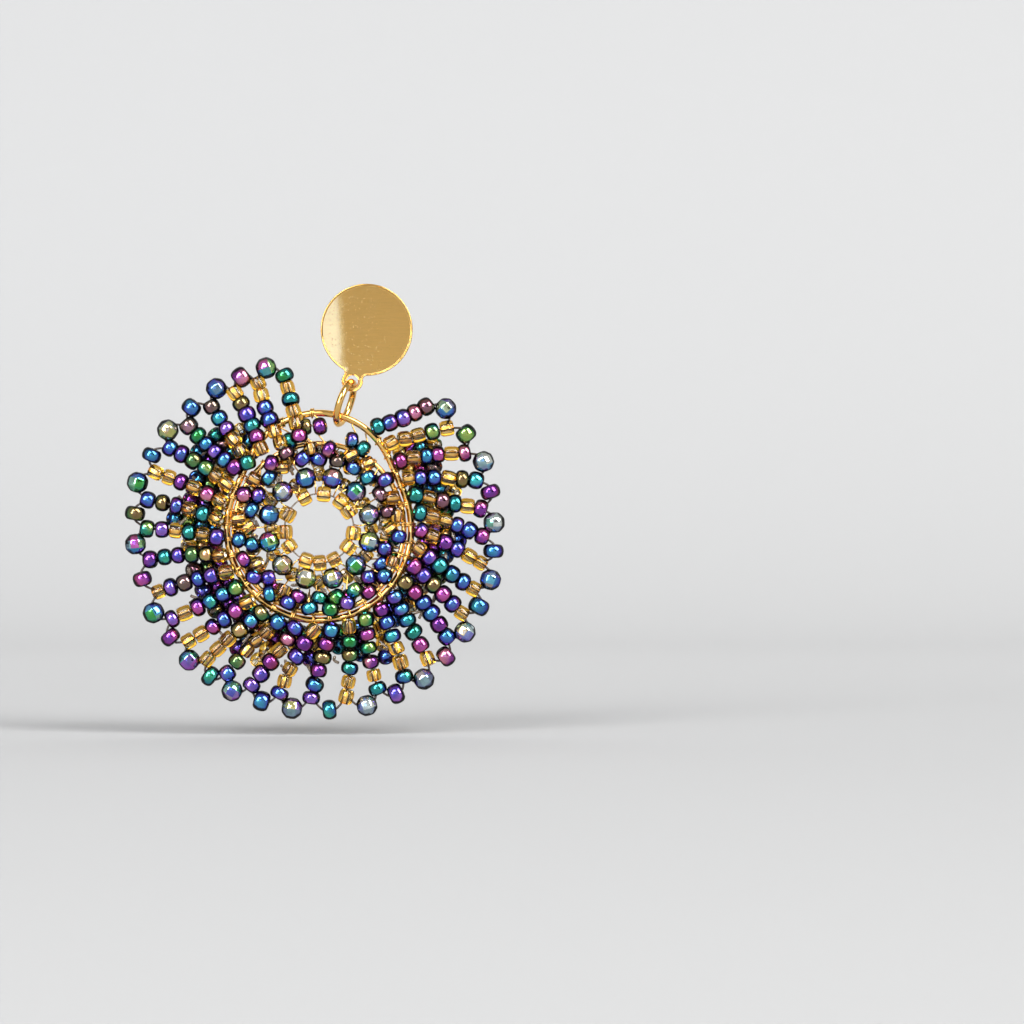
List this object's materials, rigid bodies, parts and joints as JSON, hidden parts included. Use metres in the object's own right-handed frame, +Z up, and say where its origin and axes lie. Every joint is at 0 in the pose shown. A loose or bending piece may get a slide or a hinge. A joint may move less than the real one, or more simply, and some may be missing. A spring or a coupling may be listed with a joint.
{
  "type": "beaded earring",
  "caption": "Drop earring with a round flat stud, a lug and jump ring, and a ring of seed beads and faceted beads on two wire hoops with a looped fringe edge.",
  "frame": {"origin": "centre of the stud's flat back face, where it sits on the ear", "axes": "+Z up, -Y the front that faces the viewer, +Y along the ear post into the ear, +X to the viewer's right"},
  "size_m": [0.0496, 0.0137, 0.0568],
  "materials": {
    "gold_plate": "polished gold plate over brass, lightly scratched",
    "iris_beads": "opaque glass seed beads with a metallic iris coat in purple, blue, teal and green",
    "gold_beads": "glass seed beads with a gold lining",
    "faceted_beads": "fire-polished faceted glass with a rainbow coat",
    "thread": "clear nylon monofilament"
  },
  "bodies": {
    "stud": {"stud": "gold_plate"},
    "jump_ring": {"jump_ring": "gold_plate"},
    "drop": {"arch_hoop": "gold_plate", "round_hoop": "gold_plate", "fringe": "iris_beads", "inner_web": "iris_beads", "eye_string": "gold_beads", "ring_thread": "thread", "inner_bead_01": "faceted_beads", "inner_bead_02": "faceted_beads", "inner_bead_03": "faceted_beads", "inner_bead_04": "faceted_beads", "inner_bead_05": "faceted_beads", "inner_bead_06": "faceted_beads", "inner_bead_07": "faceted_beads", "inner_bead_08": "faceted_beads", "inner_bead_09": "faceted_beads", "inner_bead_10": "faceted_beads", "inner_bead_11": "faceted_beads", "inner_bead_12": "faceted_beads", "rim_bead_01": "faceted_beads", "rim_bead_02": "faceted_beads", "rim_bead_03": "faceted_beads", "rim_bead_04": "faceted_beads", "rim_bead_05": "faceted_beads", "rim_bead_06": "faceted_beads", "rim_bead_07": "faceted_beads", "rim_bead_08": "faceted_beads", "rim_bead_09": "faceted_beads", "rim_bead_10": "faceted_beads", "rim_bead_11": "faceted_beads", "rim_bead_12": "faceted_beads", "rim_bead_13": "faceted_beads", "rim_bead_14": "faceted_beads", "rim_bead_15": "faceted_beads", "rim_bead_16": "faceted_beads"}
  },
  "joints": [
    {"name": "ring_sway", "type": "hinge", "parent": "stud", "child": "jump_ring", "pos_m": [-0.00191, -0.00045, -0.00681], "axis": [0, 1, 0], "range_deg": [-32, 40]},
    {"name": "drop_swing", "type": "hinge", "parent": "jump_ring", "child": "drop", "pos_m": [-0.0034, -0.00045, -0.01124], "axis": [0.9593, 0, -0.2823], "range_deg": [-90, 90]}
  ]
}
